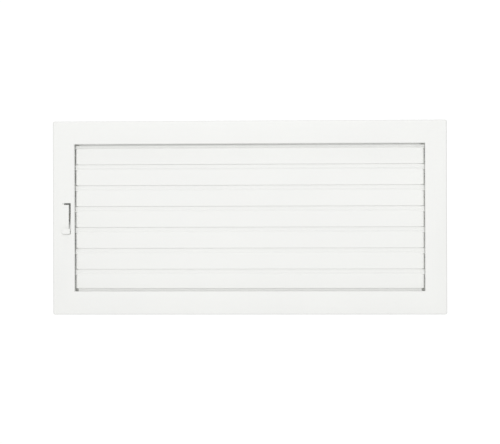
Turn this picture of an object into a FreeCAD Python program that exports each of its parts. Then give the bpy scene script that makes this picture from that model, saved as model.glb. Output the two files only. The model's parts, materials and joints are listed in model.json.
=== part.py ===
import FreeCAD, Part

import math
import os
import re

import Sketcher
from FreeCAD import Vector

# Louvred air grille for a warm-air or ventilation opening in a wall.
#
# A folded sheet-steel flange panel covers the edge of the wall opening. Behind it a carrier
# of four sheet plates holds seven horizontal blades, which turn on stub pins in nylon bushes.
# A tie bar joins a crank pin on the left end of every blade, and a small lever through a slot
# in the flange turns the middle blade, so all seven open and close together.
#
# Frame: X to the right as seen from the room, Y into the wall, Z up, in millimetres.
# The origin is the centre of the grille in the plane of the wall face, on which the folded
# rim of the flange rests. The room is on the -Y side.

BLADES = 7
MIDDLE_BLADE = 4
SIDES = {"left": -1, "right": 1}
LEVELS = {"bottom": -1, "top": 1}
NEAR = 0.01

SIZES = {
    # flange panel, folded from sheet
    "panel_width": 450.0,
    "panel_height": 221.5,
    "panel_depth": 5.0,
    "panel_sheet": 1.2,
    "panel_corner": 2.4,
    "panel_bend": 1.6,
    "opening_half_width": 200.2,
    "opening_high": 84.3,
    "opening_low": -84.1,
    "opening_lip": 6.6,
    "opening_bend": 1.0,
    # slot for the lever, an L turned on its side at the top
    "slot_inner": 204.4,
    "slot_outer": 206.6,
    "slot_side": 214.2,
    "slot_low": -18.3,
    "slot_step": 15.0,
    "slot_high": 17.0,
    # carrier plates
    "carrier_sheet": 1.0,
    "carrier_half_width": 212.0,
    "carrier_half_height": 89.5,
    "carrier_rear": 28.0,
    "carrier_play": 0.2,
    "rear_return": 16.0,
    "weld_tab": 8.0,
    "weld_tab_end": 86.0,
    "end_tab": 15.0,
    "end_tab_front": 4.0,
    "end_tab_rear": 26.0,
    "bend_round": 0.9,
    "fixing_half_span": 170.0,
    "fixing_depth": 20.0,
    "fixing_radius": 2.25,
    # stop angles above the top blade and below the bottom blade
    "stop_sheet": 0.8,
    "stop_half_length": 196.6,
    "top_stop_face": 2.9,
    "top_stop_foot": 5.6,
    "top_stop_reach": 3.8,
    "bottom_stop_face": 3.4,
    "bottom_stop_foot": 7.6,
    "bottom_stop_reach": 11.0,
    # blades, measured from their own pivot
    "pivot_depth": 7.4,
    "pitch": 24.0,
    "blade_half_length": 199.9,
    "blade_sheet": 0.9,
    "blade_face": -5.4,
    "blade_low": -10.8,
    "last_blade_low": -9.0,
    "blade_shoulder": 7.2,
    "joggle_rise": 2.0,
    "joggle_depth": 1.4,
    "blade_high": 16.3,
    "end_bend": 2.4,
    "end_step": 0.3,
    "end_high": 6.4,
    "relief": 0.4,
    "notch_length": 4.0,
    "notch_low": 12.8,
    "first_notch_low": 11.0,
    "ear_turn": 1.0,
    "ear_slope": 1.5,
    "ear_back": 4.8,
    "ear_throat": 6.0,
    "ear_half_height": 3.0,
    "ear_corner": 1.5,
    # stub pins and their bushes
    "pin_radius": 2.0,
    "pin_head_radius": 2.5,
    "pin_head": 0.8,
    "shoulder_radius": 2.5,
    "shoulder_end": 210.7,
    "pin_end": 213.6,
    "bush_bore": 2.05,
    "bush_radius": 3.25,
    "bush_hole": 3.3,
    "bush_flange_radius": 4.0,
    "bush_flange": 1.0,
    "bush_end": 213.2,
    # linkage
    "crank_radius": 11.0,
    "crank_angle": 37.5,
    "crank_margin": 3.4,
    "link_radius": 1.5,
    "link_hole": 1.6,
    "link_head_radius": 2.5,
    "link_head": 0.7,
    "link_shoulder": 1.2,
    "link_shoulder_radius": 2.7,
    "link_end": 204.0,
    "link_groove_radius": 1.15,
    "link_groove_inner": 202.8,
    "link_groove_outer": 203.5,
    "bar_inner": 201.2,
    "bar_outer": 202.6,
    "bar_half_width": 4.0,
    "bar_end": 5.0,
    "clip_radius": 3.0,
    "clip_bore": 1.25,
    "clip_inner": 202.9,
    "clip_outer": 203.4,
    "clip_mouth": 1.0,
    # lever on the left end of the middle blade, inside the carrier
    "lever_inner": 204.8,
    "lever_outer": 206.2,
    "hub_radius": 5.5,
    "square": 4.2,
    "square_hole": 4.3,
    "arm_low_angle": -77.0,
    "arm_high_angle": 165.0,
    "arm_neck": -12.0,
    "arm_taper": 1.4,
    "finger_back": -15.4,
    "finger_front": -16.8,
    "finger_top": -12.3,
    "finger_low": -18.2,
    "finger_side": 213.8,
    "finger_bend": 1.5,
    "friction_inner": 206.3,
    "friction_outer": 207.0,
    "spring_washer_inner": 207.1,
    "spring_washer_dish": 0.5,
    "spring_washer_sheet": 0.4,
    "spring_washer_radius": 4.5,
    "spacer_inner": 208.1,
    "spacer_outer": 210.9,
    "spacer_radius": 3.2,
    "axle_bore": 2.1,
    # rivets
    "rivet_radius": 1.6,
    "rivet_hole": 1.65,
    "rivet_head_radius": 3.2,
    "rivet_head": 0.9,
    "rivet_bulb_radius": 2.3,
    "rivet_bulb": 1.6,
    "rivet_from_end": 7.5,
    "rivet_first": 9.0,
    "rivet_second": 21.0,
    # spring clips on the top and bottom plates
    "spring_half_span": 120.0,
    "spring_width": 15.0,
    "spring_leaf": 0.6,
    "spring_foot_front": 19.0,
    "spring_foot_rear": 27.0,
    "spring_crest_front": 8.0,
    "spring_crest_rear": 12.0,
    "spring_nose": 2.0,
    "spring_nose_lift": 1.2,
    "spring_lift": 5.0,
    "spring_rivet": 23.0,
}

doc = FreeCAD.newDocument("louvred_air_grille")
sheet = doc.addObject("Spreadsheet::Sheet", "Sizes")
for row, (alias, size) in enumerate(SIZES.items(), start=1):
    sheet.set(f"A{row}", alias)
    sheet.set(f"B{row}", str(size))
    sheet.setAlias(f"B{row}", alias)
doc.recompute()

nodes = {}


# ---------------------------------------------------------------- expressions and sketches

def bound(text):
    """The same expression with every alias pointing at its cell."""
    def cell(match):
        word = match.group(0)
        return f"Sizes.{word}" if word in SIZES else word
    return re.sub(r"[a-z_]+", cell, str(text))


def value(text):
    """What an expression over the sheet comes to, as a number."""
    return float(sheet.evalExpression(bound(text)))


def new_body(label, depth="0", height="0"):
    """A body whose own origin lies at this depth into the wall and this height."""
    body = doc.addObject("PartDesign::Body", label)
    body.Label = label
    body.setExpression("Placement.Base.y", bound(depth))
    body.setExpression("Placement.Base.z", bound(height))
    return body


def new_sketch(body, role, offset="0"):
    """A sketch on one of the body's origin planes, moved along that plane's normal."""
    sketch = body.newObject("Sketcher::SketchObject", f"{body.Name}_sketch")
    plane = next(item for item in body.Origin.OriginFeatures if item.Role == role)
    sketch.AttachmentSupport = [(plane, "")]
    sketch.MapMode = "FlatFace"
    sketch.setExpression("AttachmentOffset.Base.z", bound(offset))
    return sketch


def place_point(sketch, geometry, vertex, across, up):
    """Hold one vertex at these two expressions, measured from the sketch's origin."""
    for kind, text in (("DistanceX", across), ("DistanceY", up)):
        constraint = Sketcher.Constraint(kind, -1, 1, geometry, vertex, value(text))
        index = sketch.addConstraint(constraint)
        sketch.setExpression(f"Constraints[{index}]", bound(text))


def polygon(sketch, corners):
    """A closed outline of straight lines through corners given as pairs of expressions."""
    points = [Vector(value(across), value(up), 0) for across, up in corners]
    first = sketch.GeometryCount
    count = len(points)
    for index, start in enumerate(points):
        sketch.addGeometry(Part.LineSegment(start, points[(index + 1) % count]))
    for index in range(count):
        after = first + (index + 1) % count
        sketch.addConstraint(Sketcher.Constraint("Coincident", first + index, 2, after, 1))
    for index, (across, up) in enumerate(corners):
        place_point(sketch, first + index, 1, across, up)


def rectangle(sketch, left, right, low, high):
    polygon(sketch, [(left, low), (right, low), (right, high), (left, high)])


def circle(sketch, across, up, radius):
    centre = Vector(value(across), value(up), 0)
    index = sketch.addGeometry(Part.Circle(centre, Vector(0, 0, 1), value(radius)))
    place_point(sketch, index, 3, across, up)
    constraint = sketch.addConstraint(Sketcher.Constraint("Radius", index, value(radius)))
    sketch.setExpression(f"Constraints[{constraint}]", bound(radius))


def arc(sketch, across, up, radius, first_degrees):
    """A quarter circle about this centre, turning left from its first angle. Its ends are given."""
    centre = Vector(value(across), value(up), 0)
    whole = Part.Circle(centre, Vector(0, 0, 1), value(radius))
    start = math.radians(first_degrees)
    return sketch.addGeometry(Part.ArcOfCircle(whole, start, start + math.pi / 2))


def quarter_bend(sketch, side, across, deep, outer, inner):
    """A right-angled fold in section: two arcs about one centre, joined by straight edges."""
    ends = {"front": lambda radius: (across, f"{deep} - ({radius})"),
            "flank": lambda radius: (f"{across} + {side} * ({radius})", deep)}
    order = ("front", "flank") if side > 0 else ("flank", "front")
    arcs = []
    for radius in (outer, inner):
        index = arc(sketch, across, deep, radius, -90 if side > 0 else 180)
        for vertex, end in enumerate(order, start=1):
            place_point(sketch, index, vertex, *ends[end](radius))
        constraint = sketch.addConstraint(Sketcher.Constraint("Radius", index, value(radius)))
        sketch.setExpression(f"Constraints[{constraint}]", bound(radius))
        arcs.append(index)
    for vertex in (1, 2):
        points = [sketch.getPoint(index, vertex) for index in arcs]
        line = sketch.addGeometry(Part.LineSegment(*points))
        for own, index in enumerate(arcs, start=1):
            sketch.addConstraint(Sketcher.Constraint("Coincident", line, own, index, vertex))


# ------------------------------------------------------------------------------- features

def pad(body, sketch, length, side="One side", reverse=False):
    feature = body.newObject("PartDesign::Pad", f"{body.Name}_pad")
    feature.Profile = sketch
    feature.SideType = side
    feature.Reversed = reverse
    feature.setExpression("Length", bound(length))
    doc.recompute()
    return feature


def pocket(body, sketch, length, side="One side", reverse=False):
    before = body.Shape.Volume
    feature = body.newObject("PartDesign::Pocket", f"{body.Name}_pocket")
    feature.Profile = sketch
    feature.SideType = side
    feature.Reversed = reverse
    feature.setExpression("Length", bound(length))
    doc.recompute()
    if body.Shape.Volume >= before:
        raise RuntimeError(f"a pocket of {body.Label} removes nothing")
    return feature


def pattern(body, original, step, count):
    """Repeat one feature along Z, step apart, count times in all."""
    axis = next(item for item in body.Origin.OriginFeatures if item.Role == "Z_Axis")
    feature = body.newObject("PartDesign::LinearPattern", f"{body.Name}_pattern")
    feature.Originals = [original]
    feature.Direction = (axis, [""])
    feature.Occurrences = count
    feature.setExpression("Length", bound(f"({step}) * {count - 1}"))
    body.Tip = feature
    doc.recompute()
    return feature


def revolve(body, sketch, axis):
    feature = body.newObject("PartDesign::Revolution", f"{body.Name}_revolution")
    feature.Profile = sketch
    feature.ReferenceAxis = (sketch, [axis])
    feature.Angle = 360
    doc.recompute()
    return feature


def fillet(body, radius, chosen):
    """Round the edges whose bounding box, in the body's own frame, passes the test."""
    base = body.Tip
    names = []
    for index, edge in enumerate(base.Shape.Edges, start=1):
        if chosen(edge.BoundBox):
            names.append(f"Edge{index}")
    if not names:
        raise RuntimeError(f"no edge to round on {body.Label}")
    feature = body.newObject("PartDesign::Fillet", f"{body.Name}_fillet")
    feature.Base = (base, names)
    feature.setExpression("Radius", bound(radius))
    doc.recompute()
    return feature


def near(first, second):
    return abs(first - second) < NEAR


def along(box, direction):
    """True for an edge that runs along one axis only."""
    lengths = {"x": box.XLength, "y": box.YLength, "z": box.ZLength}
    return all((size > NEAR) == (name == direction) for name, size in lengths.items())


def keep(body):
    """Register a finished object as the node of its label."""
    nodes[body.Label] = body
    return body


def group(label, members):
    """One node of several equal, separate pieces."""
    compound = doc.addObject("Part::Compound", label)
    compound.Label = label
    compound.Links = members
    doc.recompute()
    return keep(compound)


def turned(label, outline, depth="0", height="0", upright=False):
    """A turned piece from its half outline, about X or, if upright, about Z."""
    body = new_body(label, depth, height)
    sketch = new_sketch(body, "XZ_Plane" if upright else "XY_Plane")
    polygon(sketch, outline)
    revolve(body, sketch, "V_Axis" if upright else "H_Axis")
    return body


def blade_height(number):
    return f"({MIDDLE_BLADE - number}) * pitch"


# -------------------------------------------------------------------------- flange panel

def front_panel():
    body = new_body("front_panel")
    outline = new_sketch(body, "XZ_Plane")
    rectangle(outline, "-panel_width / 2", "panel_width / 2", "-panel_height / 2", "panel_height / 2")
    pad(body, outline, "panel_depth")
    fillet(body, "panel_corner", lambda box: along(box, "y"))
    front = -value("panel_depth")
    fillet(body, "panel_bend", lambda box: near(box.YMax, front))

    hollow = new_sketch(body, "XZ_Plane")
    half_width = "(panel_width / 2 - panel_sheet)"
    half_height = "(panel_height / 2 - panel_sheet)"
    rectangle(hollow, f"-{half_width}", half_width, f"-{half_height}", half_height)
    pocket(body, hollow, "panel_depth - panel_sheet", reverse=True)

    lip = new_sketch(body, "XZ_Plane", "panel_depth")
    half_width = "(opening_half_width + panel_sheet)"
    rectangle(lip, f"-{half_width}", half_width, "opening_low - panel_sheet", "opening_high + panel_sheet")
    pad(body, lip, "opening_lip", reverse=True)

    opening = new_sketch(body, "XZ_Plane")
    rectangle(opening, "-opening_half_width", "opening_half_width", "opening_low", "opening_high")
    pocket(body, opening, "2 * (panel_depth + opening_lip)", side="Symmetric")
    rim = value("opening_half_width")
    fillet(body, "opening_bend",
           lambda box: near(box.YMax, front) and near(box.YMin, front)
           and box.XMin > -rim - NEAR and box.XMax < rim + NEAR)

    slot = new_sketch(body, "XZ_Plane")
    polygon(slot, [("-slot_inner", "slot_low"), ("-slot_inner", "slot_high"),
                   ("-slot_side", "slot_high"), ("-slot_side", "slot_step"),
                   ("-slot_outer", "slot_step"), ("-slot_outer", "slot_low")])
    pocket(body, slot, "panel_depth", reverse=True)
    keep(body)


# ------------------------------------------------------------------------ carrier plates

def side_carrier(name, side):
    """An upright side plate: a weld tab behind the flange, a return at the rear, end tabs."""
    body = new_body(f"carrier_{name}")
    outer = "(carrier_half_width + carrier_sheet)"
    top = "(carrier_half_height + 2 * carrier_sheet)"
    back_of_panel = "(panel_sheet - panel_depth)"
    outward = side < 0

    plate = new_sketch(body, "YZ_Plane", f"{side} * carrier_half_width")
    rectangle(plate, back_of_panel, "carrier_rear", f"-{top}", top)
    pad(body, plate, "carrier_sheet", reverse=outward)

    back = new_sketch(body, "XZ_Plane", "-carrier_rear")
    rectangle(back, f"{side} * {outer}", f"{side} * (carrier_half_width - rear_return)",
              "carrier_play - carrier_half_height", "carrier_half_height - carrier_play")
    pad(body, back, "carrier_sheet")

    weld = new_sketch(body, "XZ_Plane", f"-{back_of_panel}")
    rectangle(weld, f"{side} * carrier_half_width", f"{side} * ({outer} + weld_tab)",
              "-weld_tab_end", "weld_tab_end")
    pad(body, weld, "carrier_sheet", reverse=True)

    for level in LEVELS.values():
        tab = new_sketch(body, "XY_Plane", f"{level} * (carrier_half_height + carrier_sheet)")
        rectangle(tab, f"{side} * {outer}", f"{side} * ({outer} - end_tab)",
                  "end_tab_front", "end_tab_rear")
        pad(body, tab, "carrier_sheet", reverse=level < 0)

        holes = new_sketch(body, "XY_Plane", f"{level} * (carrier_half_height + carrier_sheet)")
        for depth in ("rivet_first", "rivet_second"):
            circle(holes, f"{side} * (carrier_half_width - rivet_from_end)", depth, "rivet_hole")
        pocket(body, holes, "carrier_sheet", reverse=level > 0)

    pivot = new_sketch(body, "YZ_Plane", f"{side} * carrier_half_width")
    circle(pivot, "pivot_depth", blade_height(BLADES), "bush_hole")
    hole = pocket(body, pivot, "2 * carrier_sheet", side="Symmetric")
    pattern(body, hole, "pitch", BLADES)

    edge = value(outer)
    limit = value(top)
    fillet(body, "bend_round",
           lambda box: along(box, "y") and near(abs(box.XMin), edge) and near(abs(box.ZMin), limit))
    keep(body)


def level_carrier(name, level):
    """The plate along the top or the bottom, with one long weld tab behind the flange."""
    body = new_body(f"carrier_{name}")
    half_length = "(carrier_half_width - carrier_play)"
    outer = "(carrier_half_height + carrier_sheet)"
    back_of_panel = "(panel_sheet - panel_depth)"

    plate = new_sketch(body, "XY_Plane", f"{level} * carrier_half_height")
    rectangle(plate, f"-{half_length}", half_length, back_of_panel, "carrier_rear")
    pad(body, plate, "carrier_sheet", reverse=level < 0)

    weld = new_sketch(body, "XZ_Plane", f"-{back_of_panel}")
    rectangle(weld, f"-{half_length}", half_length,
              f"{level} * carrier_half_height", f"{level} * ({outer} + weld_tab)")
    pad(body, weld, "carrier_sheet", reverse=True)

    holes = new_sketch(body, "XY_Plane", f"{level} * carrier_half_height")
    for side in SIDES.values():
        for depth in ("rivet_first", "rivet_second"):
            circle(holes, f"{side} * (carrier_half_width - rivet_from_end)", depth, "rivet_hole")
        circle(holes, f"{side} * spring_half_span", "spring_rivet", "rivet_hole")
        circle(holes, f"{side} * fixing_half_span", "fixing_depth", "fixing_radius")
    pocket(body, holes, "carrier_sheet", reverse=level > 0)
    keep(body)


def stop_angle(name, level, towards):
    """An angle strip on the inner face of a plate. Its upright leg is the closed stop."""
    body = new_body(f"{name}_stop")
    face = f"{name}_stop_face"
    leg = new_sketch(body, "XY_Plane", f"{level} * carrier_half_height")
    rectangle(leg, "-stop_half_length", "stop_half_length", face, f"{face} + {towards} * stop_sheet")
    pad(body, leg, f"{name}_stop_reach", reverse=level > 0)
    foot = new_sketch(body, "XY_Plane", f"{level} * carrier_half_height")
    rectangle(foot, "-stop_half_length", "stop_half_length",
              face, f"{face} + {towards} * {name}_stop_foot")
    pad(body, foot, "stop_sheet", reverse=level > 0)
    keep(body)


def carrier_rivets():
    """Pop rivets through the end tabs of the side plates: head outside, bulb inside."""
    members = []
    for side_name, side in SIDES.items():
        for level_name, level in LEVELS.items():
            for place, depth in enumerate(("rivet_first", "rivet_second"), start=1):
                label = f"carrier_rivet_{level_name}_{side_name}_{place}"
                rivet = rivet_body(label, level, "2 * carrier_sheet", depth)
                rivet.setExpression("Placement.Base.x",
                                    bound(f"{side} * (carrier_half_width - rivet_from_end)"))
                members.append(rivet)
    group("carrier_rivets", members)


def rivet_body(label, level, stack, depth):
    """One pop rivet, from the inner face of a plate out through a stack of sheets."""
    outline = [("0", f"{level} * (-rivet_bulb)"),
               ("rivet_bulb_radius * 0.6", f"{level} * (-rivet_bulb)"),
               ("rivet_bulb_radius", f"{level} * (-rivet_bulb * 0.4)"),
               ("rivet_bulb_radius", "0"),
               ("rivet_radius", "0"),
               ("rivet_radius", f"{level} * ({stack})"),
               ("rivet_head_radius", f"{level} * ({stack})"),
               ("rivet_head_radius * 0.6", f"{level} * ({stack} + rivet_head)"),
               ("0", f"{level} * ({stack} + rivet_head)")]
    return turned(label, outline, depth, f"{level} * carrier_half_height", upright=True)


# -------------------------------------------------------------------------- spring clips

def spring_clip(level_name, level, side_name, side):
    """A sprung leaf, riveted at its rear foot, which grips the edge of the wall opening."""
    body = new_body(f"spring_clip_{level_name}_{side_name}",
                    "0", f"{level} * (carrier_half_height + carrier_sheet)")
    rise = "spring_lift"
    leaf = "spring_leaf"
    lower = [("spring_foot_rear", "0"),
             ("spring_foot_front", "0"),
             ("spring_crest_rear", rise),
             ("spring_crest_front", rise),
             ("spring_nose", "spring_nose_lift")]
    upper = [("spring_nose - 0.4 * spring_leaf", "spring_nose_lift + spring_leaf"),
             ("spring_crest_front - 0.3 * spring_leaf", f"{rise} + {leaf}"),
             ("spring_crest_rear + 0.3 * spring_leaf", f"{rise} + {leaf}"),
             ("spring_foot_front + 0.3 * spring_leaf", leaf),
             ("spring_foot_rear", leaf)]
    profile = new_sketch(body, "YZ_Plane", f"{side} * spring_half_span")
    polygon(profile, [(depth, f"{level} * ({lift})") for depth, lift in lower + upper])
    pad(body, profile, "spring_width", side="Symmetric")
    bends = [value(place) for place in ("spring_foot_front", "spring_crest_rear", "spring_crest_front")]
    fillet(body, "2 * spring_leaf",
           lambda box: along(box, "x") and any(abs(box.YMin - bend) < value(leaf) for bend in bends))
    hole = new_sketch(body, "XY_Plane")
    circle(hole, f"{side} * spring_half_span", "spring_rivet", "rivet_hole")
    pocket(body, hole, "4 * spring_leaf", side="Symmetric")
    keep(body)


def clip_rivets():
    members = []
    for level_name, level in LEVELS.items():
        for side_name, side in SIDES.items():
            label = f"clip_rivet_{level_name}_{side_name}"
            rivet = rivet_body(label, level, "carrier_sheet + spring_leaf", "spring_rivet")
            rivet.setExpression("Placement.Base.x", bound(f"{side} * spring_half_span"))
            members.append(rivet)
    group("clip_rivets", members)


# -------------------------------------------------------------------------------- bushes

def bushes(name, side):
    """Flanged nylon bushes pressed into the side plate, one for each blade."""
    inner = "(carrier_half_width - bush_flange)"
    outline = [(f"{side} * {inner}", "bush_bore"),
               (f"{side} * {inner}", "bush_flange_radius"),
               (f"{side} * carrier_half_width", "bush_flange_radius"),
               (f"{side} * carrier_half_width", "bush_radius"),
               (f"{side} * bush_end", "bush_radius"),
               (f"{side} * bush_end", "bush_bore")]
    members = []
    for number in range(1, BLADES + 1):
        members.append(turned(f"{name}_bush_{number}", outline, "pivot_depth", blade_height(number)))
    group(f"{name}_bushes", members)


# -------------------------------------------------------------------------------- blades

def blade(number):
    """One blade: a flat front with a joggled upper strip, and both ends folded back as ears."""
    body = new_body(f"blade_{number}", "pivot_depth", blade_height(number))
    low = "last_blade_low" if number == BLADES else "blade_low"
    notch = "first_notch_low" if number == 1 else "notch_low"
    end_low = f"({low} + end_step)"
    back = "(blade_face + blade_sheet)"
    strip_front = "(blade_face + joggle_depth)"
    strip_back = "(blade_face + joggle_depth + blade_sheet)"
    mitre = "(blade_sheet * tan(atan(joggle_depth / joggle_rise) / 2))"
    section = new_sketch(body, "YZ_Plane")
    polygon(section, [("blade_face", low),
                      ("blade_face", "blade_shoulder"),
                      (strip_front, "blade_shoulder + joggle_rise"),
                      (strip_front, "blade_high"),
                      (strip_back, "blade_high"),
                      (strip_back, f"blade_shoulder + joggle_rise - {mitre}"),
                      (back, f"blade_shoulder - {mitre}"),
                      (back, low)])
    pad(body, section, "2 * blade_half_length", side="Symmetric")
    shoulder_edges = [value("blade_shoulder"), value("blade_shoulder + joggle_rise")]
    fillet(body, "0.8 * blade_sheet",
           lambda box: along(box, "x")
           and any(abs(box.ZMin - edge) < 0.5 * value("blade_sheet") for edge in shoulder_edges))

    for side in SIDES.values():
        end = f"{side} * blade_half_length"
        corners = new_sketch(body, "XZ_Plane")
        rectangle(corners, f"{side} * (blade_half_length - end_bend)", end, low, "end_high + relief")
        rectangle(corners, f"{side} * (blade_half_length - notch_length)", end, notch, "blade_high")
        pocket(body, corners, "4 * pivot_depth", side="Symmetric")
        end_fold(body, side, end_low)
        ear(body, side, end_low)
    keep(body)


def end_fold(body, side, end_low):
    """The rounded fold from the blade's front into its ear."""
    fold = new_sketch(body, "XY_Plane", end_low)
    quarter_bend(fold, side, f"{side} * (blade_half_length - end_bend)", "blade_face + end_bend",
                 "end_bend", "end_bend - blade_sheet")
    pad(body, fold, f"end_high - {end_low}")


def ear(body, side, end_low):
    """The ear turns on the stub pin. The left one also reaches back to the crank pin."""
    crank_across = "crank_radius * cos(crank_angle)"
    crank_up = "crank_radius * sin(crank_angle)"
    front = "(blade_face + end_bend)"
    if side < 0:
        corners = [(front, end_low), ("ear_turn", f"{end_low} + ear_slope"),
                   ("ear_throat", "-ear_half_height"),
                   (f"{crank_across} + crank_margin", f"{crank_up} - crank_margin / 2"),
                   (f"{crank_across} + crank_margin / 2", f"{crank_up} + crank_margin"),
                   (f"{crank_across} - crank_margin", f"{crank_up} + crank_margin"),
                   (front, "end_high")]
    else:
        corners = [(front, end_low), ("ear_turn", f"{end_low} + ear_slope"),
                   ("ear_back", "-ear_half_height"), ("ear_back", "ear_half_height"),
                   ("ear_turn", "end_high - ear_slope / 2"), (front, "end_high")]
    plate = new_sketch(body, "YZ_Plane", f"{side} * blade_half_length")
    polygon(plate, corners)
    pad(body, plate, "blade_sheet", reverse=side > 0)
    inside = value("blade_half_length - blade_sheet")
    fillet(body, "ear_corner",
           lambda box: along(box, "x") and box.YMin > value(f"{front} + ear_corner")
           and min(box.XMin * side, box.XMax * side) > inside - NEAR)
    holes = new_sketch(body, "YZ_Plane", f"{side} * blade_half_length")
    circle(holes, "0", "0", "pin_radius")
    if side < 0:
        circle(holes, crank_across, crank_up, "link_radius")
    pocket(body, holes, "blade_sheet", reverse=side < 0)


def pivot_pin(label, side, number):
    """A stub pin peened in the ear, with a shoulder against the bush."""
    ear_inside = "(blade_half_length - blade_sheet)"
    outline = [(f"{side} * ({ear_inside} - pin_head)", "0"),
               (f"{side} * ({ear_inside} - pin_head)", "0.7 * pin_head_radius"),
               (f"{side} * ({ear_inside} - 0.4 * pin_head)", "pin_head_radius"),
               (f"{side} * {ear_inside}", "pin_head_radius"),
               (f"{side} * {ear_inside}", "pin_radius"),
               (f"{side} * blade_half_length", "pin_radius"),
               (f"{side} * blade_half_length", "shoulder_radius"),
               (f"{side} * shoulder_end", "shoulder_radius"),
               (f"{side} * shoulder_end", "pin_radius"),
               (f"{side} * pin_end", "pin_radius"),
               (f"{side} * pin_end", "0")]
    return turned(label, outline, "pivot_depth", blade_height(number))


def link_pin(number):
    """The crank pin on a blade's left ear, grooved for its clip."""
    ear_inside = "(blade_half_length - blade_sheet)"
    outline = [(f"-{ear_inside} + link_head", "0"),
               (f"-{ear_inside} + link_head", "link_head_radius"),
               (f"-{ear_inside}", "link_head_radius"),
               (f"-{ear_inside}", "link_radius"),
               ("-blade_half_length", "link_radius"),
               ("-blade_half_length", "link_shoulder_radius"),
               ("-blade_half_length - link_shoulder", "link_shoulder_radius"),
               ("-blade_half_length - link_shoulder", "link_radius"),
               ("-link_groove_inner", "link_radius"),
               ("-link_groove_inner", "link_groove_radius"),
               ("-link_groove_outer", "link_groove_radius"),
               ("-link_groove_outer", "link_radius"),
               ("-link_end", "link_radius"),
               ("-link_end", "0")]
    keep(turned(f"blade_{number}_link_pin", outline, *crank_place(number)))


def crank_place(number):
    """Depth and height of the crank pin of one blade."""
    return ("pivot_depth + crank_radius * cos(crank_angle)",
            f"{blade_height(number)} + crank_radius * sin(crank_angle)")


def link_clip(number):
    """An open ring clip in the groove of the crank pin, outside the tie bar."""
    body = new_body(f"blade_{number}_link_clip", *crank_place(number))
    ring = new_sketch(body, "YZ_Plane", "-clip_inner")
    circle(ring, "0", "0", "clip_radius")
    circle(ring, "0", "0", "clip_bore")
    pad(body, ring, "clip_outer - clip_inner", reverse=True)
    mouth = new_sketch(body, "YZ_Plane", "-clip_inner")
    rectangle(mouth, "0", "clip_radius + 1", "-clip_mouth", "clip_mouth")
    pocket(body, mouth, "clip_outer - clip_inner", reverse=False)
    keep(body)


# ------------------------------------------------------------------------ tie bar, lever

def tie_bar():
    """A flat bar with one hole for each crank pin. It stays upright as the blades turn."""
    depth, height = crank_place(MIDDLE_BLADE)
    body = new_body("tie_bar", depth, height)
    reach = f"({(BLADES - 1) // 2} * pitch + bar_end)"
    strip = new_sketch(body, "YZ_Plane", "-bar_outer")
    rectangle(strip, "-bar_half_width", "bar_half_width", f"-{reach}", reach)
    pad(body, strip, "bar_outer - bar_inner")
    fillet(body, "0.9 * bar_half_width", lambda box: along(box, "x"))
    first = new_sketch(body, "YZ_Plane", "-bar_outer")
    circle(first, "0", f"-{(BLADES - 1) // 2} * pitch", "link_hole")
    hole = pocket(body, first, "bar_outer - bar_inner", reverse=True)
    pattern(body, hole, "pitch", BLADES)
    keep(body)


def lever():
    """A flat arm from the axle out through the slot, its end folded sideways as a finger tab."""
    body = new_body("lever", "pivot_depth", blade_height(MIDDLE_BLADE))
    thick = "lever_outer - lever_inner"
    hub = new_sketch(body, "YZ_Plane", "-lever_inner")
    circle(hub, "0", "0", "hub_radius")
    pad(body, hub, thick, reverse=True)
    arm = new_sketch(body, "YZ_Plane", "-lever_inner")
    polygon(arm, [("hub_radius * cos(arm_low_angle)", "hub_radius * sin(arm_low_angle)"),
                  ("arm_neck", "finger_low + arm_taper"),
                  ("finger_back", "finger_low"), ("finger_front", "finger_low"),
                  ("finger_front", "finger_top"), ("finger_back", "finger_top"),
                  ("arm_neck", "finger_top - arm_taper"),
                  ("hub_radius * cos(arm_high_angle)", "hub_radius * sin(arm_high_angle)")])
    pad(body, arm, thick, reverse=True)
    tab = new_sketch(body, "XZ_Plane", "-finger_back")
    rectangle(tab, "-lever_inner", "-finger_side", "finger_low", "finger_top")
    pad(body, tab, "finger_back - finger_front")
    inner_side = -value("lever_inner")
    outer_side = -value("finger_side")
    fillet(body, "0.9 * finger_bend",
           lambda box: along(box, "z") and near(box.XMin, inner_side)
           and near(box.YMin, value("finger_front")))
    fillet(body, "finger_bend",
           lambda box: along(box, "y") and near(box.XMin, outer_side))
    hole = new_sketch(body, "YZ_Plane", "-lever_inner")
    rectangle(hole, "-square_hole / 2", "square_hole / 2", "-square_hole / 2", "square_hole / 2")
    pocket(body, hole, thick, reverse=False)
    keep(body)


def lever_axle():
    """The left stub pin of the middle blade, with a squared length that drives the lever."""
    body = pivot_pin("lever_axle", SIDES["left"], MIDDLE_BLADE)
    beyond = new_sketch(body, "YZ_Plane", "-lever_inner")
    circle(beyond, "0", "0", "2 * shoulder_radius")
    circle(beyond, "0", "0", "pin_radius")
    pocket(body, beyond, "shoulder_end - lever_inner")
    drive = new_sketch(body, "YZ_Plane", "-lever_inner")
    rectangle(drive, "-square / 2", "square / 2", "-square / 2", "square / 2")
    pad(body, drive, "lever_outer - lever_inner", reverse=True)
    keep(body)


def axle_ring(label, outline):
    """A ring on the outer length of the lever's axle."""
    keep(turned(label, outline, "pivot_depth", blade_height(MIDDLE_BLADE)))


def axle_rings():
    """From the lever out to the bush: a nylon friction washer, a dished spring and a spacer."""
    axle_ring("lever_friction_washer",
              [("-friction_inner", "axle_bore"), ("-friction_inner", "hub_radius"),
               ("-friction_outer", "hub_radius"), ("-friction_outer", "axle_bore")])
    rim = "-spring_washer_inner"
    axle_ring("lever_spring_washer",
              [(f"{rim} - spring_washer_dish", "axle_bore"),
               (rim, "spring_washer_radius"),
               (f"{rim} - spring_washer_sheet", "spring_washer_radius"),
               (f"{rim} - spring_washer_dish - spring_washer_sheet", "axle_bore")])
    axle_ring("lever_spacer",
              [("-spacer_inner", "axle_bore"), ("-spacer_inner", "spacer_radius"),
               ("-spacer_outer", "spacer_radius"), ("-spacer_outer", "axle_bore")])


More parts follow.
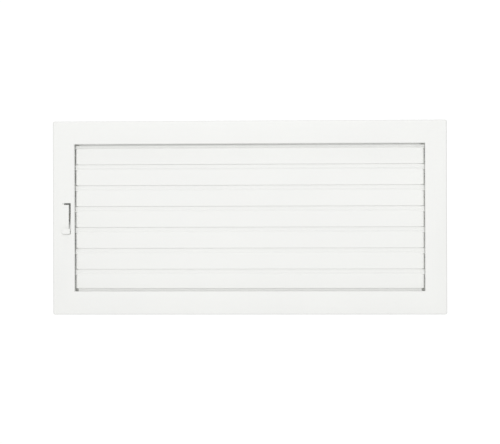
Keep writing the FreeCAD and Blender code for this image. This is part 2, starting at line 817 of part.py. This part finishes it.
# ----------------------------------------------------------------------------- the grille

front_panel()
for side_name, side in SIDES.items():
    side_carrier(side_name, side)
    bushes(side_name, side)
for level_name, level in LEVELS.items():
    level_carrier(level_name, level)
    for side_name, side in SIDES.items():
        spring_clip(level_name, level, side_name, side)
stop_angle("top", LEVELS["top"], -1)
stop_angle("bottom", LEVELS["bottom"], 1)
carrier_rivets()
clip_rivets()

for number in range(1, BLADES + 1):
    blade(number)
    right = pivot_pin(f"blade_{number}_right_pin", SIDES["right"], number)
    if number == MIDDLE_BLADE:
        keep(right)
    else:
        left = pivot_pin(f"blade_{number}_left_pin", SIDES["left"], number)
        group(f"blade_{number}_pivot_pins", [left, right])
    link_pin(number)
    link_clip(number)

tie_bar()
lever()
lever_axle()
axle_rings()

doc.recompute()
for item in doc.Objects:
    if "Invalid" in item.State or "Error" in item.State:
        raise RuntimeError(f"{item.Name} did not recompute")
os.makedirs("parts", exist_ok=True)
for name, item in nodes.items():
    shape = item.Shape
    if shape.isNull() or not shape.isValid():
        raise RuntimeError(f"{name} has no valid shape")
    shape.exportStep(f"parts/{name}.step")
print(len(nodes), "nodes written")
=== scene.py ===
import json
import math

import bmesh
import bpy
from mathutils import Matrix, Vector


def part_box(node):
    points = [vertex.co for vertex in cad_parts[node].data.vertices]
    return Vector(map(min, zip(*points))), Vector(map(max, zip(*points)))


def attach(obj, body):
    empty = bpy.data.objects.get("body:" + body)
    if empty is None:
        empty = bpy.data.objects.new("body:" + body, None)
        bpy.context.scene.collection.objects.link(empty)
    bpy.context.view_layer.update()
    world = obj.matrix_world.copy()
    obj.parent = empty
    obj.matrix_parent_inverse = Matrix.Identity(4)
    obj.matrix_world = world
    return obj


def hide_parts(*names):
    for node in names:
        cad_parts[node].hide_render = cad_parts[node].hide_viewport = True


# Louvred air grille: a white powder-coated flange and blades, zinc-plated pins and rivets,
# spring-steel clips and nylon bushes. The sheet parts are shown with the softened edges that
# folding and coating leave, except the tie bar, whose holes fit close round the crank pins and
# which keeps its drawn shape. The rivets and the spot weld rings are modelled here in full.

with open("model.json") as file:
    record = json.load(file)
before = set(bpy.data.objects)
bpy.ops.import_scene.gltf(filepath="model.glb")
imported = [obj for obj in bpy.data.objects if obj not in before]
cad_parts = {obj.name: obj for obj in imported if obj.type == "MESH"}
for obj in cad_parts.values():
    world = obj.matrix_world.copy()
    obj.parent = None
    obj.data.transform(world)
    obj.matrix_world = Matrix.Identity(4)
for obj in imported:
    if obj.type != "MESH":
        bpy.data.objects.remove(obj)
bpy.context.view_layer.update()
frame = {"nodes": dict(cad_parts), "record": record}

MM = 0.001
RECORD = frame["record"]
NODE_SLOT = {part["node"]: part["material_slot"] for part in RECORD["subparts"]}
NODE_BODY = {node: body for body, nodes in RECORD["behaviour"]["bodies"].items() for node in nodes}

PANEL_LOW, PANEL_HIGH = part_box("front_panel")
FRONT_Y = PANEL_LOW.y
CARRIER_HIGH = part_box("carrier_top")[1]


# ------------------------------------------------------------------------------ materials

def new_material(name):
    material = bpy.data.materials.new(name)
    material.use_nodes = True
    nodes = material.node_tree.nodes
    return material, nodes, material.node_tree.links, nodes["Principled BSDF"]


def noise(nodes, links, scale, detail, stretch=(1, 1, 1)):
    """Noise over the piece's own metres, stretched along an axis where that share is small."""
    place = nodes.new("ShaderNodeTexCoord")
    mapping = nodes.new("ShaderNodeMapping")
    mapping.inputs["Scale"].default_value = stretch
    links.new(place.outputs["Object"], mapping.inputs["Vector"])
    texture = nodes.new("ShaderNodeTexNoise")
    texture.inputs["Scale"].default_value = scale
    texture.inputs["Detail"].default_value = detail
    links.new(mapping.outputs["Vector"], texture.inputs["Vector"])
    return texture.outputs["Fac"]


def spread(nodes, links, source, low, high):
    """The noise stretched out to run from one value to the other."""
    ramp = nodes.new("ShaderNodeMapRange")
    ramp.inputs["From Min"].default_value = 0.3
    ramp.inputs["From Max"].default_value = 0.7
    ramp.inputs["To Min"].default_value = low
    ramp.inputs["To Max"].default_value = high
    links.new(source, ramp.inputs["Value"])
    return ramp.outputs["Result"]


def tint(nodes, links, source, first, second):
    """A colour between two, chosen by the noise."""
    ramp = nodes.new("ShaderNodeValToRGB")
    ramp.color_ramp.elements[0].position = 0.35
    ramp.color_ramp.elements[0].color = (*first, 1)
    ramp.color_ramp.elements[1].position = 0.65
    ramp.color_ramp.elements[1].color = (*second, 1)
    links.new(source, ramp.inputs["Fac"])
    return ramp.outputs["Color"]


def relief(nodes, links, shader, layers):
    """Bumps of several noises, one on the other, each given as source and height in metres."""
    previous = None
    for source, height in layers:
        bump = nodes.new("ShaderNodeBump")
        bump.inputs["Distance"].default_value = height
        links.new(source, bump.inputs["Height"])
        if previous is not None:
            links.new(previous, bump.inputs["Normal"])
        previous = bump.outputs["Normal"]
    links.new(previous, shader.inputs["Normal"])


def white_coat():
    """Smooth white powder coat with its fine orange peel, a little unevenly thick."""
    material, nodes, links, shader = new_material("white_powder_coat")
    cloud = noise(nodes, links, 9.0, 2.0)
    peel = noise(nodes, links, 520.0, 1.0)
    grit = noise(nodes, links, 2600.0, 2.0)
    links.new(tint(nodes, links, cloud, (0.868, 0.872, 0.855), (0.880, 0.885, 0.866)),
              shader.inputs["Base Color"])
    links.new(spread(nodes, links, peel, 0.34, 0.44), shader.inputs["Roughness"])
    shader.inputs["Specular IOR Level"].default_value = 0.5
    relief(nodes, links, shader, [(peel, 12e-6), (grit, 2e-6)])
    return material


def zinc_steel():
    """Bright zinc plating: cloudy blue-grey and faint yellow, over drawn steel."""
    material, nodes, links, shader = new_material("zinc_plated_steel")
    cloud = noise(nodes, links, 160.0, 3.0)
    drawn = noise(nodes, links, 2200.0, 3.0, stretch=(0.12, 1, 1))
    links.new(tint(nodes, links, cloud, (0.55, 0.57, 0.60), (0.68, 0.67, 0.62)),
              shader.inputs["Base Color"])
    links.new(spread(nodes, links, drawn, 0.24, 0.42), shader.inputs["Roughness"])
    shader.inputs["Metallic"].default_value = 1.0
    relief(nodes, links, shader, [(drawn, 4e-6)])
    return material


def spring_steel():
    """Blue-grey tempered strip with rolling lines across the object's depth."""
    material, nodes, links, shader = new_material("spring_steel")
    cloud = noise(nodes, links, 90.0, 3.0)
    rolled = noise(nodes, links, 2600.0, 2.0, stretch=(1, 0.05, 0.05))
    links.new(tint(nodes, links, cloud, (0.33, 0.335, 0.35), (0.43, 0.425, 0.42)),
              shader.inputs["Base Color"])
    links.new(spread(nodes, links, rolled, 0.26, 0.46), shader.inputs["Roughness"])
    shader.inputs["Metallic"].default_value = 1.0
    relief(nodes, links, shader, [(rolled, 5e-6)])
    return material


def nylon():
    """Natural moulded nylon: warm off-white, waxy, with a fine moulded texture."""
    material, nodes, links, shader = new_material("natural_nylon")
    cloud = noise(nodes, links, 240.0, 2.0)
    moulded = noise(nodes, links, 3200.0, 2.0)
    links.new(tint(nodes, links, cloud, (0.72, 0.69, 0.60), (0.78, 0.75, 0.66)),
              shader.inputs["Base Color"])
    links.new(spread(nodes, links, moulded, 0.42, 0.56), shader.inputs["Roughness"])
    shader.inputs["Subsurface Weight"].default_value = 0.15
    shader.inputs["Subsurface Radius"].default_value = (0.0012, 0.0010, 0.0007)
    relief(nodes, links, shader, [(moulded, 4e-6)])
    return material


def floor_paint():
    """Plain pale matt floor with a barely visible mottle."""
    material, nodes, links, shader = new_material("pale_floor")
    cloud = noise(nodes, links, 4.0, 3.0)
    links.new(tint(nodes, links, cloud, (0.93, 0.93, 0.925), (0.95, 0.95, 0.945)),
              shader.inputs["Base Color"])
    shader.inputs["Roughness"].default_value = 0.85
    return material


MATERIALS = {
    "white_coat": white_coat(),
    "zinc_steel": zinc_steel(),
    "spring_steel": spring_steel(),
    "nylon": nylon(),
}


# ------------------------------------------------------------------------- helpers for pieces

def new_piece(name, mesh, body, slot, nodes=()):
    """Put a mesh in the scene, on its body, with its slot's material."""
    piece = bpy.data.objects.new(name, mesh)
    bpy.context.scene.collection.objects.link(piece)
    mesh.materials.clear()
    mesh.materials.append(MATERIALS[slot])
    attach(piece, body)
    if nodes:
        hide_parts(*nodes)
    return piece


def softened(node, width):
    """A node's own shape with its sharp edges rounded, as deburring and coating leave them."""
    shape = bmesh.new()
    shape.from_mesh(frame["nodes"][node].data)
    bmesh.ops.remove_doubles(shape, verts=shape.verts, dist=1e-6)
    bmesh.ops.dissolve_limit(shape, angle_limit=math.radians(0.6), verts=shape.verts,
                             edges=shape.edges, use_dissolve_boundaries=False)
    mesh = bpy.data.meshes.new(f"{node}_soft")
    shape.to_mesh(mesh)
    shape.free()
    for leftover in ("custom_normal", "UVMap"):
        if leftover in mesh.attributes:
            mesh.attributes.remove(mesh.attributes[leftover])
    mesh.shade_smooth()
    piece = new_piece(f"{node}_shape", mesh, NODE_BODY[node], NODE_SLOT[node], [node])
    bevel = piece.modifiers.new("soft edges", "BEVEL")
    bevel.width = width
    bevel.segments = 2
    bevel.limit_method = "ANGLE"
    bevel.angle_limit = math.radians(35)
    bevel.use_clamp_overlap = False
    bevel.harden_normals = True
    return piece


def lathe(shape, profile, place, turn, segments=40):
    """Add a closed turned solid: the profile's pairs of radius and height, about its own axis."""
    rings = []
    for radius, height in profile:
        count = 1 if radius == 0 else segments
        ring = []
        for step in range(count):
            angle = 2 * math.pi * step / count
            local = Vector((radius * math.cos(angle), radius * math.sin(angle), height))
            ring.append(shape.verts.new(place + turn @ local))
        rings.append(ring)
    for lower, upper in zip(rings, rings[1:]):
        for step in range(segments):
            after = (step + 1) % segments
            corners = [lower[step % len(lower)], lower[after % len(lower)],
                       upper[after % len(upper)], upper[step % len(upper)]]
            unique = list(dict.fromkeys(corners))
            if len(unique) > 2:
                shape.faces.new(unique)


def lathed_piece(name, body, slot, places, profile, nodes=()):
    """Several equal turned solids in one piece. Each place is a point and a turn."""
    shape = bmesh.new()
    for place, turn in places:
        lathe(shape, profile, place, turn)
    bmesh.ops.recalc_face_normals(shape, faces=shape.faces)
    mesh = bpy.data.meshes.new(name)
    shape.to_mesh(mesh)
    shape.free()
    mesh.shade_smooth()
    mesh.set_sharp_from_angle(angle=math.radians(40))
    return new_piece(name, mesh, body, slot, nodes)


# ---------------------------------------------------------------------------------- pieces

SHEET_EDGE = 0.18 * MM
SMALL_EDGE = 0.10 * MM
RIVET_HEAD_RADIUS = 3.2
RIVET_HEAD_HEIGHT = 0.9
WELD_TAB_SHEET = 1.0 * MM
WELD_FROM_SIDE = 8.0 * MM
WELD_FROM_TOP = 4.0 * MM
WELD_PITCH_UP = 26.0 * MM
WELD_PITCH_ALONG = 64.0 * MM
BLADES = [f"blade_{number}" for number in range(1, 8)]
SHEET_NODES = ["front_panel", "carrier_left", "carrier_right", "carrier_top", "carrier_bottom",
               "top_stop", "bottom_stop", "lever", *BLADES]
STRIP_NODES = [node for node in NODE_SLOT
               if node.startswith("spring_clip") or node.endswith("link_clip")]

UP = Matrix.Identity(3)
DOWN = Matrix.Rotation(math.pi, 3, "X")
REARWARD = Matrix.Rotation(-math.pi / 2, 3, "X")


def sheet_parts():
    for node in SHEET_NODES:
        softened(node, SHEET_EDGE)
    for node in STRIP_NODES:
        softened(node, SMALL_EDGE)


def rivet_profile(stack):
    """A pop rivet: blind bulb inside, domed head outside with the mandrel's broken end in it."""
    return [(radius * MM, height * MM) for radius, height in [
        (0, -stack - 1.6), (1.2, -stack - 1.6), (1.9, -stack - 1.35), (2.3, -stack - 0.8),
        (2.3, -stack), (1.6, -stack), (1.6, 0), (RIVET_HEAD_RADIUS, 0),
        (RIVET_HEAD_RADIUS, 0.2), (2.95, 0.48), (2.4, 0.73), (1.7, 0.87),
        (1.1, RIVET_HEAD_HEIGHT), (1.0, 0.82), (0.97, 0.35), (0.5, 0.45), (0, 0.38)]]


def rivets():
    """The rivets of the carrier's corners and of the spring clips, heads outward."""
    head_radius, head_height = RIVET_HEAD_RADIUS * MM, RIVET_HEAD_HEIGHT * MM
    for node, stack in (("carrier_rivets", 2.0), ("clip_rivets", 1.6)):
        low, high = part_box(node)
        depths = sorted({round(low.y + head_radius, 5), round(high.y - head_radius, 5)})
        places = []
        for side in (-1, 1):
            for level, turn in ((-1, DOWN), (1, UP)):
                for depth in depths:
                    across, up = side * (high.x - head_radius), level * (high.z - head_height)
                    places.append((Vector((across, depth, up)), turn))
        lathed_piece(f"{node}_turned", "frame", "zinc_steel", places, rivet_profile(stack), [node])


def spot_welds():
    """The shallow rings that spot welding leaves on the back of the weld tabs."""
    profile = [(radius * MM, height * MM) for radius, height in [
        (0, -0.3), (2.9, -0.3), (2.9, 0), (2.6, 0.10), (2.2, 0.12), (1.8, 0.04), (0, 0.02)]]
    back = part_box("carrier_left")[0].y + WELD_TAB_SHEET
    places = []
    tab_x = PANEL_HIGH.x - WELD_FROM_SIDE
    tab_z = CARRIER_HIGH.z - WELD_FROM_TOP
    for step in range(-3, 4):
        height = step * WELD_PITCH_UP
        places.append((Vector((tab_x, back, height)), REARWARD))
        places.append((Vector((-tab_x, back, height)), REARWARD))
        for level in (-1, 1):
            places.append((Vector((step * WELD_PITCH_ALONG, back, level * tab_z)), REARWARD))
    lathed_piece("spot_welds", "frame", "white_coat", places, profile)


def plain_nodes():
    """Nodes whose own shape is right keep it, and take their slot's material."""
    for node, cad in frame["nodes"].items():
        if not cad.hide_render:
            for own in cad.material_slots:
                own.link = "OBJECT"
                own.material = MATERIALS[NODE_SLOT[node]]


sheet_parts()
rivets()
spot_welds()
plain_nodes()


# ------------------------------------------------------------------------------------ stage

FLOOR_DROP = 0.35
FLOOR_RADIUS = 1.5


def floor():
    """A plain pale disc under the object, ending before it would cut through the front view."""
    shape = bmesh.new()
    bmesh.ops.create_circle(shape, cap_ends=True, segments=96, radius=FLOOR_RADIUS,
                            matrix=Matrix.Translation((0, 0, PANEL_LOW.z - FLOOR_DROP)))
    mesh = bpy.data.meshes.new("floor")
    shape.to_mesh(mesh)
    shape.free()
    disc = bpy.data.objects.new("floor", mesh)
    bpy.context.scene.collection.objects.link(disc)
    mesh.materials.append(floor_paint())


def world_light(backdrop, ambient):
    """White backdrop to the eye, and a softer white light on the object."""
    world = bpy.data.worlds.new("studio")
    bpy.context.scene.world = world
    world.use_nodes = True
    nodes, links = world.node_tree.nodes, world.node_tree.links
    background = nodes["Background"]
    background.inputs["Color"].default_value = (1, 1, 1, 1)
    seen = nodes.new("ShaderNodeLightPath")
    strength = nodes.new("ShaderNodeMapRange")
    strength.inputs["To Min"].default_value = ambient
    strength.inputs["To Max"].default_value = backdrop
    links.new(seen.outputs["Is Camera Ray"], strength.inputs["Value"])
    links.new(strength.outputs["Result"], background.inputs["Strength"])


def softbox(name, place, width, height, power):
    """A softbox aimed at the middle of the object."""
    light = bpy.data.lights.new(name, "AREA")
    light.shape = "RECTANGLE"
    light.size, light.size_y = width, height
    light.energy = power
    lamp = bpy.data.objects.new(name, light)
    lamp.location = place
    lamp.rotation_euler = (-Vector(place)).to_track_quat("-Z", "Y").to_euler()
    bpy.context.scene.collection.objects.link(lamp)


def camera(distance, yaw_degrees, roll_degrees, aim, focal_length):
    """A long lens, at the object's height and a little to its right, held very slightly tilted."""
    yaw, roll = math.radians(yaw_degrees), math.radians(roll_degrees)
    data = bpy.data.cameras.new("camera")
    data.lens = focal_length
    data.sensor_width = 36.0
    eye = bpy.data.objects.new("camera", data)
    eye.location = Vector(aim) + distance * Vector((math.sin(yaw), -math.cos(yaw), 0))
    level = Matrix.Rotation(yaw, 3, "Z") @ Matrix.Rotation(math.pi / 2, 3, "X")
    eye.rotation_euler = (level @ Matrix.Rotation(roll, 3, "Z")).to_euler()
    bpy.context.scene.collection.objects.link(eye)
    bpy.context.scene.camera = eye


floor()
world_light(backdrop=1.05, ambient=0.58)
softbox("key", place=(-0.05, -2.9, 0.80), width=2.0, height=0.9, power=32.0)
softbox("overhead", place=(-0.2, -0.5, 1.9), width=0.8, height=0.8, power=4.0)
softbox("rear", place=(0.2, 1.8, 1.3), width=2.0, height=1.0, power=7.0)
camera(distance=2.0, yaw_degrees=2.5, roll_degrees=-0.15, aim=(0.0011, FRONT_Y, -0.0051),
       focal_length=126.3)
bpy.context.scene.view_settings.view_transform = "Standard"
